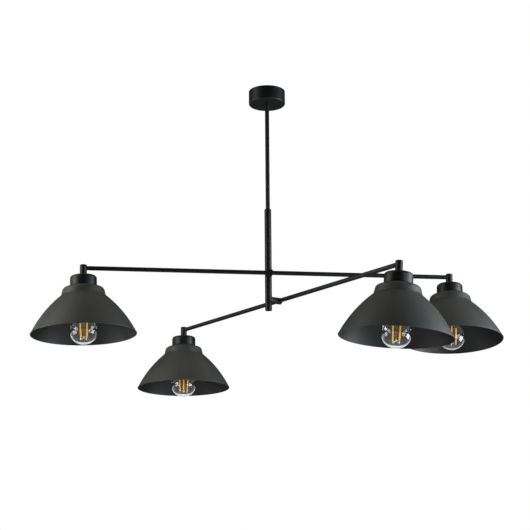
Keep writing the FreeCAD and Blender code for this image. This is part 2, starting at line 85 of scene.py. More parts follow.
STICK_LOW_END = (9.0, STICK_FOOT)
STICK_RADIUS = 1.5
STICK_COUNT = 4
STICK_START = 45  # degrees from the head's X axis to the first stick

# How far each head's bulb has turned when it is screwed home, in degrees.
BULB_SCREWED = {"right": 35.0, "left": 2.0, "back": 14.0, "front": -41.0}


# Node trees ----------------------------------------------------------------------------------

FLUTE_FADE = 0.0004  # metres over which a flute runs out at its ends
SEAM_GAP = 1e-6      # metres within which the first and last slices are joined
BEND_POINTS = 5      # points along each bend of a wire


def add(tree, kind, joins=None, **settings):
    """A new node in a tree, with its settings made and its inputs joined or set."""
    made = tree.nodes.new(kind)
    for key, value in settings.items():
        setattr(made, key, value)
    for key, value in (joins or {}).items():
        if isinstance(value, bpy.types.NodeSocket):
            tree.links.new(value, made.inputs[key])
        else:
            made.inputs[key].default_value = value
    return made


def maths(tree, operation, first, second=0.0, third=0.0, clamp=False):
    """The result of one sum on numbers or sockets."""
    made = add(tree, "ShaderNodeMath", {0: first, 1: second, 2: third}, operation=operation,
               use_clamp=clamp)
    return made.outputs[0]


def new_shape_tree(name, inputs):
    """An empty geometry tree with a shape in, a shape out and named inputs."""
    tree = bpy.data.node_groups.new(name, "GeometryNodeTree")
    tree.interface.new_socket("Shape", in_out="OUTPUT", socket_type="NodeSocketGeometry")
    tree.interface.new_socket("Shape", in_out="INPUT", socket_type="NodeSocketGeometry")
    for label, kind, value in inputs:
        socket = tree.interface.new_socket(label, in_out="INPUT", socket_type="NodeSocket" + kind)
        if value is not None:
            socket.default_value = value
    return tree, add(tree, "NodeGroupInput").outputs


def between(tree, height, top, foot, fade):
    """One between two heights and nought outside them, with a soft step at both ends."""
    above = maths(tree, "DIVIDE", maths(tree, "SUBTRACT", height, foot), fade, clamp=True)
    below = maths(tree, "DIVIDE", maths(tree, "SUBTRACT", top, height), fade, clamp=True)
    return maths(tree, "MULTIPLY", above, below)


def turning_tree():
    """Turns a profile about the Z axis, and can cut a round thread and flutes in its outside.

    Strips of faces from the one numbered "Inside from" onwards take the inside finish.
    """
    tree, given = new_shape_tree("turned_on_a_lathe", [
        ("Points", "Int", 2),
        ("Slices", "Int", 96),
        ("Inside from", "Int", 100000),
        ("Outside finish", "Material", None),
        ("Inside finish", "Material", None),
        ("Thread depth", "Float", 0.0),
        ("Thread pitch", "Float", 0.0025),
        ("Thread top", "Float", 0.0),
        ("Thread foot", "Float", 0.0),
        ("Flutes", "Int", 12),
        ("Flute depth", "Float", 0.0),
        ("Flute top", "Float", 0.0),
        ("Flute foot", "Float", 0.0),
        ("Least radius", "Float", 0.0),
    ])
    points, slices = given["Points"], given["Slices"]
    index = add(tree, "GeometryNodeInputIndex").outputs[0]
    ring = maths(tree, "MODULO", index, points)
    turn = maths(tree, "FLOOR", maths(tree, "DIVIDE", maths(tree, "ADD", index, 0.5), points))
    angle = maths(tree, "MULTIPLY", maths(tree, "DIVIDE", turn, slices), TURN)
    place = add(tree, "GeometryNodeInputPosition").outputs[0]
    profile = add(tree, "GeometryNodeSampleIndex", {"Geometry": given["Shape"]},
                  data_type="FLOAT_VECTOR", domain="POINT")
    tree.links.new(place, profile.inputs["Value"])
    tree.links.new(ring, profile.inputs["Index"])
    parts = add(tree, "ShaderNodeSeparateXYZ", {0: profile.outputs[0]}).outputs
    radius, height = parts["X"], parts["Z"]
    outer = maths(tree, "GREATER_THAN", radius, given["Least radius"])
    rise = maths(tree, "MULTIPLY", maths(tree, "DIVIDE", height, given["Thread pitch"]), TURN)
    wave = maths(tree, "SUBTRACT", maths(tree, "COSINE", maths(tree, "ADD", rise, angle)), 1.0)
    threaded = between(tree, height, given["Thread top"], given["Thread foot"],
                       given["Thread pitch"])
    cut = maths(tree, "MULTIPLY", maths(tree, "MULTIPLY", wave, 0.5), given["Thread depth"])
    cut = maths(tree, "MULTIPLY", maths(tree, "MULTIPLY", cut, threaded), outer)
    scallop = maths(tree, "ABSOLUTE", maths(tree, "SINE", maths(
        tree, "MULTIPLY", maths(tree, "MULTIPLY", angle, given["Flutes"]), 0.5)))
    scallop = maths(tree, "SUBTRACT", scallop, 1.0)
    fluted = between(tree, height, given["Flute top"], given["Flute foot"], FLUTE_FADE)
    carve = maths(tree, "MULTIPLY", maths(tree, "MULTIPLY", scallop, given["Flute depth"]), fluted)
    carve = maths(tree, "MULTIPLY", carve, outer)
    radius = maths(tree, "ADD", maths(tree, "ADD", radius, cut), carve)
    where = add(tree, "ShaderNodeCombineXYZ", {
        "X": maths(tree, "MULTIPLY", radius, maths(tree, "COSINE", angle)),
        "Y": maths(tree, "MULTIPLY", radius, maths(tree, "SINE", angle)),
        "Z": height,
    }).outputs[0]
    grid = add(tree, "GeometryNodeMeshGrid", {
        "Size X": 1.0, "Size Y": 1.0,
        "Vertices X": maths(tree, "ADD", slices, 1.0), "Vertices Y": points,
    })
    lie = add(tree, "GeometryNodeStoreNamedAttribute", {
        "Geometry": grid.outputs["Mesh"], "Name": "lathe", "Value": grid.outputs["UV Map"],
    }, data_type="FLOAT2", domain="CORNER")
    strip = maths(tree, "MODULO", index, maths(tree, "SUBTRACT", points, 1.0))
    marked = add(tree, "GeometryNodeStoreNamedAttribute", {
        "Geometry": lie.outputs[0], "Name": "strip", "Value": strip,
    }, data_type="FLOAT", domain="FACE")
    turned = add(tree, "GeometryNodeSetPosition", {
        "Geometry": marked.outputs[0], "Position": where})
    closed = add(tree, "GeometryNodeMergeByDistance", {
        "Geometry": turned.outputs[0], "Distance": SEAM_GAP})
    whole = add(tree, "GeometryNodeRealizeInstances", {"Geometry": closed.outputs[0]})
    coat = add(tree, "GeometryNodeSetMaterial", {
        "Geometry": whole.outputs[0], "Material": given["Outside finish"]})
    mark = add(tree, "GeometryNodeInputNamedAttribute", {"Name": "strip"}, data_type="FLOAT")
    inside = maths(tree, "GREATER_THAN", mark.outputs[0],
                   maths(tree, "SUBTRACT", given["Inside from"], 0.5))
    lined = add(tree, "GeometryNodeSetMaterial", {
        "Geometry": coat.outputs[0], "Selection": inside, "Material": given["Inside finish"]})
    add(tree, "NodeGroupOutput", {"Shape": lined.outputs[0]})
    return tree


def circle_tree():
    """Sets copies of the given shape in a circle about the Z axis, each leaning outwards."""
    tree, given = new_shape_tree("set_in_a_circle", [
        ("Count", "Int", 4),
        ("Radius", "Float", 0.01),
        ("Height", "Float", 0.0),
        ("Start", "Float", 0.0),
        ("Lean", "Float", 0.0),
        ("Finish", "Material", None),
    ])
    ring = add(tree, "GeometryNodeMeshCircle", {
        "Vertices": given["Count"], "Radius": given["Radius"]})
    index = add(tree, "GeometryNodeInputIndex").outputs[0]
    angle = maths(tree, "MULTIPLY", maths(tree, "DIVIDE", index, given["Count"]), TURN)
    facing = add(tree, "ShaderNodeCombineXYZ", {"Y": given["Lean"], "Z": angle}).outputs[0]
    copies = add(tree, "GeometryNodeInstanceOnPoints", {
        "Points": ring.outputs["Mesh"], "Instance": given["Shape"], "Rotation": facing})
    lift = add(tree, "ShaderNodeCombineXYZ", {"Z": given["Height"]}).outputs[0]
    swing = add(tree, "ShaderNodeCombineXYZ", {"Z": given["Start"]}).outputs[0]
    whole = add(tree, "GeometryNodeRealizeInstances", {"Geometry": copies.outputs[0]})
    placed = add(tree, "GeometryNodeTransform", {
        "Geometry": whole.outputs[0], "Translation": lift, "Rotation": swing})
    coat = add(tree, "GeometryNodeSetMaterial", {
        "Geometry": placed.outputs[0], "Material": given["Finish"]})
    add(tree, "NodeGroupOutput", {"Shape": coat.outputs[0]})
    return tree


def wire_tree():
    """Runs round wire along the given lines, with a bend of one radius at every corner."""
    tree, given = new_shape_tree("bent_wire", [
        ("Wire radius", "Float", 0.0003),
        ("Bend radius", "Float", 0.001),
        ("Sides", "Int", 10),
        ("Finish", "Material", None),
    ])
    line = add(tree, "GeometryNodeMeshToCurve", {"Mesh": given["Shape"]})
    bent = add(tree, "GeometryNodeFilletCurve", {
        "Curve": line.outputs[0], "Radius": given["Bend radius"], "Limit Radius": True,
        "Count": BEND_POINTS}, mode="POLY")
    section = add(tree, "GeometryNodeCurvePrimitiveCircle", {
        "Resolution": given["Sides"], "Radius": given["Wire radius"]})
    tube = add(tree, "GeometryNodeCurveToMesh", {
        "Curve": bent.outputs[0], "Profile Curve": section.outputs[0], "Fill Caps": True})
    whole = add(tree, "GeometryNodeRealizeInstances", {"Geometry": tube.outputs[0]})
    coat = add(tree, "GeometryNodeSetMaterial", {
        "Geometry": whole.outputs[0], "Material": given["Finish"]})
    add(tree, "NodeGroupOutput", {"Shape": coat.outputs[0]})
    return tree


TURNING = turning_tree()
CIRCLE = circle_tree()
WIRE = wire_tree()


# Shapes --------------------------------------------------------------------------------------

ARC_STEP = 9      # degrees at most between the points of a rounded corner
SHARP = 38        # edges that turn by more degrees than this stay sharp
SHARP_SMALL = 50  # the same for wires and for pieces set in a circle
SHARP_GLASS = 60  # the same for glass and for the light sticks


def formed(tree, source, **inputs):
    """The plain mesh that a geometry tree makes of a source mesh, with its inputs set by name."""
    maker = bpy.data.objects.new("maker", source)
    bpy.context.scene.collection.objects.link(maker)
    step = maker.modifiers.new("step", "NODES")
    step.node_group = tree
    wanted = {key.replace("_", " ").lower(): value for key, value in inputs.items()}
    for item in tree.interface.items_tree:
        if item.item_type == "SOCKET" and item.in_out == "INPUT" and item.name.lower() in wanted:
            step[item.identifier] = wanted.pop(item.name.lower())
    if wanted:
        raise ValueError(f"{tree.name} has no input named {sorted(wanted)}")
    maker.update_tag()
    bpy.context.view_layer.update()
    done = maker.evaluated_get(bpy.context.evaluated_depsgraph_get())
    mesh = bpy.data.meshes.new_from_object(done)
    maker.modifiers.remove(step)
    bpy.data.objects.remove(maker)
    return mesh


def rounded(corners, closed=False):
    """An outline through corners (radius, height, bend), with an arc of that radius at each."""
    count = len(corners)
    outline = []
    for i, (x, z, bend) in enumerate(corners):
        corner = Vector((x, z))
        if bend <= 0 or not closed and i in (0, count - 1):
            outline.append((x, z))
            continue
        before = (Vector(corners[i - 1][:2]) - corner).normalized()
        after = (Vector(corners[(i + 1) % count][:2]) - corner).normalized()
        half = before.angle(after) / 2
        middle = corner + (before + after).normalized() * (bend / math.sin(half))
        start = corner + before * (bend / math.tan(half)) - middle
        end = corner + after * (bend / math.tan(half)) - middle
        sweep = start.angle(end)
        steps = max(3, math.ceil(sweep / math.radians(ARC_STEP)))
        side = 1 if start.x * end.y - start.y * end.x > 0 else -1
        for k in range(steps + 1):
            a = side * sweep * k / steps
            spoke = (start.x * math.cos(a) - start.y * math.sin(a),
                     start.x * math.sin(a) + start.y * math.cos(a))
            outline.append((middle.x + spoke[0], middle.y + spoke[1]))
    if closed:
        outline.append(outline[0])
    return outline


def bow(middle, radius, start, end, steps):
    """Points along an arc, with its angles in degrees."""
    angles = [math.radians(start + (end - start) * k / steps) for k in range(steps + 1)]
    return [(middle[0] + radius * math.cos(a), middle[1] + radius * math.sin(a)) for a in angles]


def filled(outline, step):
    """The same outline with a point at least every step, in mm."""
    points = [outline[0]]
    for a, b in zip(outline, outline[1:]):
        count = max(1, math.ceil(math.dist(a, b) / step))
        points += [(a[0] + (b[0] - a[0]) * k / count, a[1] + (b[1] - a[1]) * k / count)
                   for k in range(1, count + 1)]
    return points


def turned(outline, outside, slices=96, inside=None, inside_from=None, sharp=SHARP, **cuts):
    """A piece turned from an outline in mm, in the head's own frame.

    The cuts are the lathe's inputs for a thread and flutes, in mm.
    """
    profile = bpy.data.meshes.new("profile")
    profile.from_pydata([(x * MM, 0, z * MM) for x, z in outline], [], [])
    cuts = {key: value * MM if key != "flutes" else value for key, value in cuts.items()}
    mesh = formed(TURNING, profile, points=len(outline), slices=slices, outside_finish=outside,
                  inside_finish=inside or outside,
                  inside_from=len(outline) if inside_from is None else inside_from, **cuts)
    bpy.data.meshes.remove(profile)
    return finished(mesh, sharp)


def finished(mesh, sharp=SHARP):
    """A closed mesh with its faces outwards, smooth but for its sharp edges."""
    work = bmesh.new()
    work.from_mesh(mesh)
    bmesh.ops.remove_doubles(work, verts=work.verts, dist=1e-7)
    bmesh.ops.dissolve_degenerate(work, edges=work.edges, dist=1e-8)
    bmesh.ops.recalc_face_normals(work, faces=work.faces)
    work.to_mesh(mesh)
    work.free()
    mesh.shade_smooth()
    mesh.set_sharp_from_angle(angle=math.radians(sharp))
    return mesh


def lines(paths):
    """A mesh of open lines through points in mm."""
    mesh = bpy.data.meshes.new("lines")
    points, edges = [], []
    for path in paths:
        edges += [(len(points) + k, len(points) + k + 1) for k in range(len(path) - 1)]
        points += [tuple(c * MM for c in p) for p in path]
    mesh.from_pydata(points, edges, [])
    return mesh


def wires(paths, finish, radius, bend=1.0, sides=10):
    """Round wires along paths in mm."""
    source = lines(paths)
    mesh = formed(WIRE, source, wire_radius=radius * MM, bend_radius=bend * MM, sides=sides,
                  finish=finish)
    bpy.data.meshes.remove(source)
    return finished(mesh, SHARP_SMALL)


def in_a_circle(mesh, finish, count, radius, height=0.0, start=0.0, lean=0.0):
    """Copies of a mesh set round the axis. Angles are in degrees and sizes in mm."""
    made = formed(CIRCLE, mesh, count=count, radius=radius * MM, height=height * MM,
                  start=math.radians(start), lean=math.radians(lean), finish=finish)
    return finished(made, SHARP_SMALL)


def joined(*meshes):
    """One mesh from several, with their finishes."""
    work = bmesh.new()
    finishes = []
    for mesh in meshes:
        first = len(work.faces)
        work.from_mesh(mesh)
        work.faces.ensure_lookup_table()
        for face in work.faces[first:]:
            finish = mesh.materials[face.material_index]
            if finish not in finishes:
                finishes.append(finish)
            face.material_index = finishes.index(finish)
    whole = bpy.data.meshes.new("joined")
    work.to_mesh(whole)
    work.free()
    for finish in finishes:
        whole.materials.append(finish)
    whole.shade_smooth()
    return whole


# Finishes ------------------------------------------------------------------------------------


def new_finish(name):
    """A material with one surface shader, its object coordinates and the shader's inputs."""
    made = bpy.data.materials.new(name)
    made.use_nodes = True
    tree = made.node_tree
    tree.nodes.clear()
    shader = add(tree, "ShaderNodeBsdfPrincipled")
    add(tree, "ShaderNodeOutputMaterial", {"Surface": shader.outputs[0]})
    place = add(tree, "ShaderNodeTexCoord").outputs["Object"]
    return made, tree, shader.inputs, place


def noise(tree, place, size, detail=3.0, rough=0.55):
    """Cloudy noise whose blotches are about size metres across."""
    return add(tree, "ShaderNodeTexNoise", {
        "Vector": place, "Scale": 1 / size, "Detail": detail, "Roughness": rough}).outputs[0]


def spread(tree, value, low, high, from_low=0.3, from_high=0.7):
    """A value stretched from the middle of its range onto another range."""
    return add(tree, "ShaderNodeMapRange", {
        "Value": value, "From Min": from_low, "From Max": from_high, "To Min": low,
        "To Max": high}).outputs[0]


def blend_colours(tree, share, first, second):
    """A colour between two, by a share from nought to one."""
    made = add(tree, "ShaderNodeMix", data_type="RGBA")
    chosen = {0: share, 6: first, 7: second}  # the factor and the two colours
    for socket, value in ((made.inputs[key], value) for key, value in chosen.items()):
        if isinstance(value, bpy.types.NodeSocket):
            tree.links.new(value, socket)
        else:
            socket.default_value = (*value, 1.0)
    return made.outputs[2]


def bumped(tree, height, depth, under=None):
    """A surface normal raised by a height pattern of that depth in metres."""
    joins = {"Height": height, "Distance": depth, "Strength": 1.0}
    if under is not None:
        joins["Normal"] = under
    return add(tree, "ShaderNodeBump", joins).outputs[0]


def worn_edges(tree, place, reach, size):
    """A mask that is one in patches along a piece's edges, reach metres to each side of them."""
    soft = add(tree, "ShaderNodeBevel", {"Radius": reach}, samples=4).outputs[0]
    face = add(tree, "ShaderNodeNewGeometry").outputs["Normal"]
    turn = add(tree, "ShaderNodeVectorMath", {0: soft, 1: face}, operation="DOT_PRODUCT")
    edge = spread(tree, turn.outputs["Value"], 1.0, 0.0, 0.72, 0.97)
    patch = spread(tree, noise(tree, place, size), 0.0, 1.0, 0.45, 0.7)
    return maths(tree, "MULTIPLY", edge, patch)


def powder_coat(name, dark, light, gloss, shine, peel, peel_depth, grain, grain_depth, worn):
    """Baked powder paint: clouded colour, orange peel, a fine grain and rubbed edges.

    Gloss is the range of roughness, and peel and grain are sizes and depths in metres.
    """
    made, tree, surface, place = new_finish(name)
    cloud = spread(tree, noise(tree, place, 0.03), 0.0, 1.0)
    speck = spread(tree, noise(tree, place, grain, 2.0), 0.0, 1.0)
    colour = blend_colours(tree, maths(tree, "ADD", maths(tree, "MULTIPLY", cloud, 0.6),
                                       maths(tree, "MULTIPLY", speck, 0.4)), dark, light)
    rubbed = worn_edges(tree, place, 0.0006, 0.004)
    tree.links.new(blend_colours(tree, maths(tree, "MULTIPLY", rubbed, 0.35), colour, worn),
                   surface["Base Color"])
    matt = maths(tree, "ADD", spread(tree, cloud, gloss[0], gloss[1], 0.0, 1.0),
                 maths(tree, "MULTIPLY", speck, 0.06))
    tree.links.new(maths(tree, "SUBTRACT", matt, maths(tree, "MULTIPLY", rubbed, 0.12)),
                   surface["Roughness"])
    skin = bumped(tree, noise(tree, place, peel, 1.0), peel_depth)
    tree.links.new(bumped(tree, noise(tree, place, grain, 2.0), grain_depth, skin),
                   surface["Normal"])
    surface["IOR"].default_value = 1.5
    surface["Specular IOR Level"].default_value = shine
    return made


def plated(name, dark, light, gloss, scratch, worn):
    """Plated or bare metal with fine scratches, a clouded shine and brighter edges."""
    made, tree, surface, place = new_finish(name)
    cloud = spread(tree, noise(tree, place, 0.006), 0.0, 1.0)
    drawn = add(tree, "ShaderNodeMapping", {"Vector": place, "Scale": (1.0, 1.0, 0.12)})
    scored = noise(tree, drawn.outputs[0], scratch, 4.0, 0.7)
    colour = blend_colours(tree, cloud, dark, light)
    rubbed = worn_edges(tree, place, 0.0004, 0.002)
    tree.links.new(blend_colours(tree, maths(tree, "MULTIPLY", rubbed, 0.5), colour, worn),
                   surface["Base Color"])
    tree.links.new(maths(tree, "ADD", spread(tree, cloud, gloss[0], gloss[1], 0.0, 1.0),
                         spread(tree, scored, -0.04, 0.06)), surface["Roughness"])
    tree.links.new(bumped(tree, scored, 4e-6), surface["Normal"])
    surface["Metallic"].default_value = 1.0
    return made


def moulded(name, dark, light, gloss, grain_depth):
    """Moulded plastic: faint flow marks, a fine grain and an even skin."""
    made, tree, surface, place = new_finish(name)
    flow = add(tree, "ShaderNodeMapping", {"Vector": place, "Scale": (1.0, 1.0, 0.3)})
    mark = spread(tree, noise(tree, flow.outputs[0], 0.012, 4.0), 0.0, 1.0)
    tree.links.new(blend_colours(tree, mark, dark, light), surface["Base Color"])
    tree.links.new(spread(tree, mark, gloss[0], gloss[1], 0.0, 1.0), surface["Roughness"])
    tree.links.new(bumped(tree, noise(tree, place, 0.0004, 2.0), grain_depth), surface["Normal"])
    surface["IOR"].default_value = 1.52
    return made


def blown_glass(name):
    """Clear blown glass with faint streaks in its skin."""
    made, tree, surface, place = new_finish(name)
    streak = add(tree, "ShaderNodeMapping", {"Vector": place, "Scale": (1.0, 1.0, 0.2)})
    wave = noise(tree, streak.outputs[0], 0.008, 2.0)
    tree.links.new(bumped(tree, wave, 1.2e-5), surface["Normal"])
    surface["Roughness"].default_value = 0.0
    surface["Base Color"].default_value = (0.97, 0.98, 0.98, 1.0)
    surface["Transmission Weight"].default_value = 1.0
    surface["IOR"].default_value = 1.46
    return made


def phosphor_painted_glow(name):
    """Amber phosphor over a light stick, with the small chips showing through and a painted glow on
    the unlit stick.
    """
    made, tree, surface, place = new_finish(name)
    chips = add(tree, "ShaderNodeTexVoronoi", {"Vector": place, "Scale": 900.0}).outputs[0]
    share = spread(tree, chips, 0.0, 1.0, 0.1, 0.8)
    tree.links.new(blend_colours(tree, share, (0.84, 0.36, 0.01), (0.98, 0.60, 0.03)),
                   surface["Base Color"])
    tree.links.new(spread(tree, chips, 0.35, 0.6, 0.0, 1.0), surface["Roughness"])
    tree.links.new(bumped(tree, chips, 4e-5), surface["Normal"])
    # Painted glow: the light sticks are unlit, and this emission stands in for studio light falling
    # on them.
    surface["Emission Color"].default_value = (1.0, 0.46, 0.01, 1.0)
    surface["Emission Strength"].default_value = 0.55
    return made


satin_black = powder_coat(
    "satin_black_powder_coat", (0.0034, 0.0034, 0.0032), (0.0060, 0.0060, 0.0056),
    gloss=(0.36, 0.44), shine=0.32, peel=0.0016, peel_depth=2e-6, grain=0.0003, grain_depth=1e-6,
    worn=(0.012, 0.012, 0.011))
charcoal = powder_coat(
    "charcoal_powder_coat", (0.034, 0.034, 0.030), (0.045, 0.045, 0.040),
    gloss=(0.46, 0.54), shine=0.5, peel=0.0016, peel_depth=7e-6, grain=0.00035, grain_depth=6e-6,
    worn=(0.09, 0.09, 0.085))
# The shade's inside: the charcoal coat made darker, as painted shade for the shadow inside the
# shade.
lining_painted_shade = powder_coat(
    "shade_inside_painted_shade_coat", (0.009, 0.009, 0.0085), (0.014, 0.014, 0.013),
    gloss=(0.42, 0.50), shine=0.5, peel=0.0016, peel_depth=7e-6, grain=0.00035, grain_depth=6e-6,
    worn=(0.05, 0.05, 0.05))
zinc = plated("zinc_plated_steel", (0.50, 0.51, 0.53), (0.66, 0.67, 0.68),
              gloss=(0.24, 0.36), scratch=0.0006, worn=(0.78, 0.78, 0.78))
oxide = plated("black_oxide_screw", (0.035, 0.035, 0.038), (0.075, 0.075, 0.08),
               gloss=(0.30, 0.42), scratch=0.0004, worn=(0.30, 0.30, 0.30))
brass = plated("plain_brass", (0.62, 0.43, 0.16), (0.80, 0.60, 0.28),
               gloss=(0.20, 0.32), scratch=0.0004, worn=(0.90, 0.74, 0.42))
nickel = plated("nickel_plate", (0.58, 0.57, 0.54), (0.74, 0.73, 0.70),
                gloss=(0.16, 0.28), scratch=0.0004, worn=(0.85, 0.84, 0.80))
phenolic = moulded("black_phenolic", (0.010, 0.010, 0.010), (0.020, 0.019, 0.018),
                   gloss=(0.30, 0.44), grain_depth=6e-6)
nylon = moulded("natural_nylon", (0.74, 0.72, 0.66), (0.86, 0.85, 0.80),
                gloss=(0.38, 0.5), grain_depth=5e-6)
glass = blown_glass("clear_bulb_glass")
amber_painted_glow = phosphor_painted_glow("amber_phosphor_painted_glow")

FINISHES = {
    "black_coat": satin_black, "shade_coat": charcoal, "zinc_steel": zinc, "black_oxide": oxide,
    "brass": brass, "nickel": nickel, "phenolic": phenolic, "terminal_plastic": nylon,
    "bulb_glass": glass, "filament": amber_painted_glow,
}
for piece in frame["nodes"].values():
    for holder in piece.material_slots:
        holder.material = FINISHES[holder.material.name.split(".")[0]]


# Pieces of a head, in its own frame ----------------------------------------------------------
# The corners of an outline are (radius, height, bend), in mm.

LIP_LINED = 5  # points of the rim's bead that belong to the inside


def shade_outline():
    """The spun shade's wall, and the number of the point where its inside begins."""
    bead = (RIM_RADIUS - RIM_BEAD, RIM_FOOT + RIM_BEAD)

    def on_dome(radius, height):
        return math.degrees(math.asin((height - DOME_MIDDLE[1]) / radius))

    start = on_dome(DOME_RADIUS, NECK_FOOT[1]) - 1
    first = bow(DOME_MIDDLE, DOME_RADIUS, start, start, 1)[0]
    way = Vector((NECK_FOOT[0] - NECK_TOP[0], NECK_FOOT[1] - NECK_TOP[1])).normalized()
    outside = rounded([(SHADE_HOLE, SHADE_TOP, 0), (SHADE_CREST, SHADE_TOP, 3.0), (*NECK_TOP, 9.0),
                       (*NECK_FOOT, 5.0), (*first, 0)])
    outside += bow(DOME_MIDDLE, DOME_RADIUS, start, on_dome(DOME_RADIUS, RIM_FOOT + 2.0), 40)[1:]
    lip = bow(bead, RIM_BEAD, 55, -215, 18)
    wall = SHADE_WALL
    # The neck's inner corners are the outer ones moved in, so that the wall keeps its thickness.
    in_top = Vector(NECK_TOP) + Vector((-wall * (1 + way.x), -wall * 1.12))
    in_foot = Vector(NECK_FOOT) + Vector((-wall * 1.08, -wall * 0.55))
    in_first = bow(DOME_MIDDLE, DOME_RADIUS - wall, start, start, 1)[0]
    inside = rounded([(SHADE_HOLE, SHADE_TOP - wall, 0), (SHADE_CREST - 0.2, SHADE_TOP - wall, 2.0),
                      (*in_top, 8.0), (*in_foot, 6.0), (*in_first, 0)])
    inside += bow(DOME_MIDDLE, DOME_RADIUS - wall, start,
                  on_dome(DOME_RADIUS - wall, RIM_FOOT + 1.9), 40)[1:]
    outline = outside + lip + inside[::-1] + [outside[0]]
    return outline, len(outside) + len(lip) - LIP_LINED


def make_shade():
    """Spun shade, charcoal outside, and inside a darker copy of that coat as painted shade."""
    outline, inside_from = shade_outline()
    return turned(outline, charcoal, slices=192, inside=lining_painted_shade, inside_from=inside_from)


def make_cup():
    """Spun cup over the lampholder, open below, with a rolled line near its mouth."""
    inner = CUP_RADIUS - CUP_WALL
    outline = rounded([
        (5.1, CUP_TOP, 0.3),
        (CUP_RADIUS, CUP_TOP, CUP_EDGE),
        (CUP_RADIUS, SHADE_TOP + 1.6, 0.4),
        (CUP_RADIUS - 0.35, SHADE_TOP + 1.2, 0.3),
        (CUP_RADIUS - 0.1, SHADE_TOP + 0.8, 0.3),
        (CUP_RADIUS - 0.4, SHADE_TOP + 0.05, 0.5),
        (inner, SHADE_TOP + 0.05, 0.3),
        (inner, CUP_TOP - CUP_WALL, CUP_EDGE - CUP_WALL),
        (5.1, CUP_TOP - CUP_WALL, 0.3),
    ], closed=True)
    return turned(outline, satin_black, slices=128)


def make_lampholder():
    """Two-part phenolic lampholder: a ribbed body and a skirt with an outer thread."""
    bore = CAP_RADIUS + 0.3
    outline = rounded([
        (5.2, CUP_TOP - CUP_WALL - 0.3, 0.3),
        (10.0, CUP_TOP - CUP_WALL - 0.3, 0.6),
        (10.0, CUP_TOP - 9, 1.0),
        (24.0, CUP_TOP - 14, 2.5),
        (24.0, SHADE_TOP + 0.05, 0.5),
        (SKIRT_RADIUS, SHADE_TOP + 0.05, 0.3),
        (SKIRT_RADIUS, SKIRT_FOOT, 1.4),
        (bore, SKIRT_FOOT, 1.0),
        (bore, CAP_TIP + 3, 0.5),
        (3.2, CAP_TIP + 6, 0.5),
        (3.2, CUP_TOP - 14, 0.3),
        (5.2, CUP_TOP - 14, 0.3),
    ], closed=True)
    return turned(filled(outline, 0.45), phenolic, slices=96, sharp=30, least_radius=17.0,
                  thread_depth=0.9, thread_pitch=2.5, thread_top=SHADE_TOP - 0.6,
                  thread_foot=SKIRT_FOOT + 2.0, flutes=36, flute_depth=0.7,
                  flute_top=CUP_TOP - 16.5, flute_foot=SHADE_TOP + 0.8)


def make_shade_ring():
    """Clamp ring with finger flutes; the thread inside it is not cut."""
    top = SHADE_TOP - SHADE_WALL
    outline = rounded([
        (SKIRT_RADIUS + 0.1, top - 0.05, 0.3),
        (SKIRT_RADIUS + 0.1, top - 6, 0.4),
        (24.5, top - 6, 1.0),
        (24.5, top - 2, 0.5),
        (27.0, top - 2, 0.5),
        (27.0, top - 0.05, 0.3),
    ], closed=True)
    return turned(filled(outline, 0.6), phenolic, slices=240, least_radius=22.0, flutes=24,
                  flute_depth=0.9, flute_top=top - 2.2, flute_foot=top - 7.0)


def bulb_outline(wall):
    """Half of the glass, moved in by wall, from the foot of the ball up to the cap.

    Blown glass is thicker at the foot of the ball.
    """
    reach = BULB_RADIUS + BULB_SHOULDER
    shoulder = (reach * math.cos(math.radians(BULB_TURN)),
                BULB_MIDDLE + reach * math.sin(math.radians(BULB_TURN)))
    ball = []
    for x, z in bow((0, BULB_MIDDLE), 1.0, -90, BULB_TURN, 44):
        low = max(0.0, BULB_MIDDLE - z)
        radius = BULB_RADIUS - wall * (1 + BULB_THICK_FOOT * low ** 2)
        ball.append((x * radius, BULB_MIDDLE + (z - BULB_MIDDLE) * radius))
    ball[0] = (0.0, ball[0][1])
    bend = bow(shoulder, BULB_SHOULDER + wall, 180 + BULB_TURN, 180, 18)[1:]
    neck = bend[-1][0]
    throat = 12.6 - wall
    top = rounded([(neck, shoulder[1], 0), (neck, CAP_RIM - 1.6, 0.4),
                   (throat, CAP_RIM - 0.3, 0.4), (throat, CAP_RIM + 4, 0)])[1:]
    return ball + bend + top


def make_bulb_glass():
    """Clear glass ball on a narrow neck."""
    outline = bulb_outline(0.0) + bulb_outline(BULB_WALL)[::-1]
    return turned(outline, glass, slices=128, sharp=SHARP_GLASS)


def make_bulb_shell():
    """Nickel screw shell with a rolled thread, a black insulating bead and a contact button."""
    inside = CAP_RADIUS - 0.5
    shell = rounded([
        (6.2, CAP_TIP - 2.6, 0),
        (7.4, CAP_TIP - 2.4, 0.4),
        (CAP_RADIUS - 0.4, CAP_TIP - 5.0, 1.4),
        (CAP_RADIUS - 0.4, CAP_RIM + 4.5, 0.5),
        (CAP_RADIUS, CAP_RIM + 3.6, 0.5),
        (CAP_RADIUS, CAP_RIM + 0.4, 0.3),
        (CAP_RADIUS - 0.3, CAP_RIM, 0.2),
        (inside - 0.1, CAP_RIM, 0.1),
        (inside - 0.9, CAP_RIM + 3.2, 0.4),
        (inside - 1.6, CAP_TIP - 6.0, 1.0),
        (6.2, CAP_TIP - 3.6, 0),
    ], closed=True)
    shell = turned(filled(shell, 0.4), nickel, slices=96, least_radius=12.3, thread_depth=1.0,
                   thread_pitch=3.63, thread_top=CAP_TIP - 4.6, thread_foot=CAP_RIM + 5.0)
    bead = rounded([
        (0.0, CAP_TIP - 4.4, 0), (6.15, CAP_TIP - 4.4, 0.3), (6.15, CAP_TIP - 2.2, 0.8),
        (4.9, CAP_TIP - 0.9, 0.6), (0.0, CAP_TIP - 0.9, 0),
    ])
    bead = turned(bead, phenolic, slices=64)
    button = turned(rounded([
        (0.0, CAP_TIP - 1.0, 0), (4.8, CAP_TIP - 1.0, 0.2), (4.6, CAP_TIP - 0.1, 0.6),
        (2.2, CAP_TIP, 0.9), (0.0, CAP_TIP - 0.02, 0),
    ]), nickel, slices=48)
    return joined(shell, bead, button)


